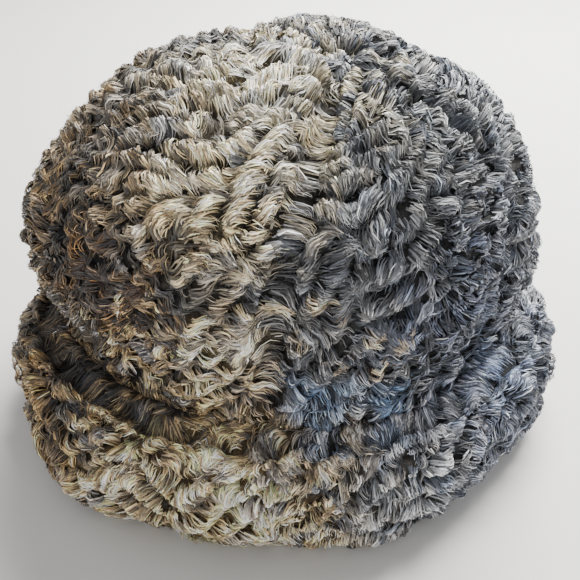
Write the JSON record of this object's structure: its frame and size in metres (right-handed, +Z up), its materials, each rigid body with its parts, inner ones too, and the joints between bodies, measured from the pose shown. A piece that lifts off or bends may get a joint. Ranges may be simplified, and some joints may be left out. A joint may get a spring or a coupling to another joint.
{
  "type": "brimmed karakul fur hat",
  "caption": "Soft brimmed hat of grey curly karakul lamb fur, with a domed crown sewn from gores and a thick rolled brim turned down all round.",
  "frame": {"origin": "centre of the bounding box in plan, on the table plane that the hem stands on", "axes": "+X along the long way of the head and of the brim, +Z up through the crown, -Y towards the side that the picture shows"},
  "size_m": [0.2654, 0.2266, 0.1768],
  "materials": {
    "crown_fur": "curly karakul lamb fur on its hide, silver grey with dark roots and cream patches, rough",
    "brim_fur": "curly karakul lamb fur on its hide, silver grey with dark roots, rough"
  },
  "bodies": {
    "root": {"crown_front_right": "crown_fur", "crown_right": "crown_fur", "crown_back": "crown_fur", "crown_left": "crown_fur", "brim": "brim_fur"}
  },
  "joints": []
}
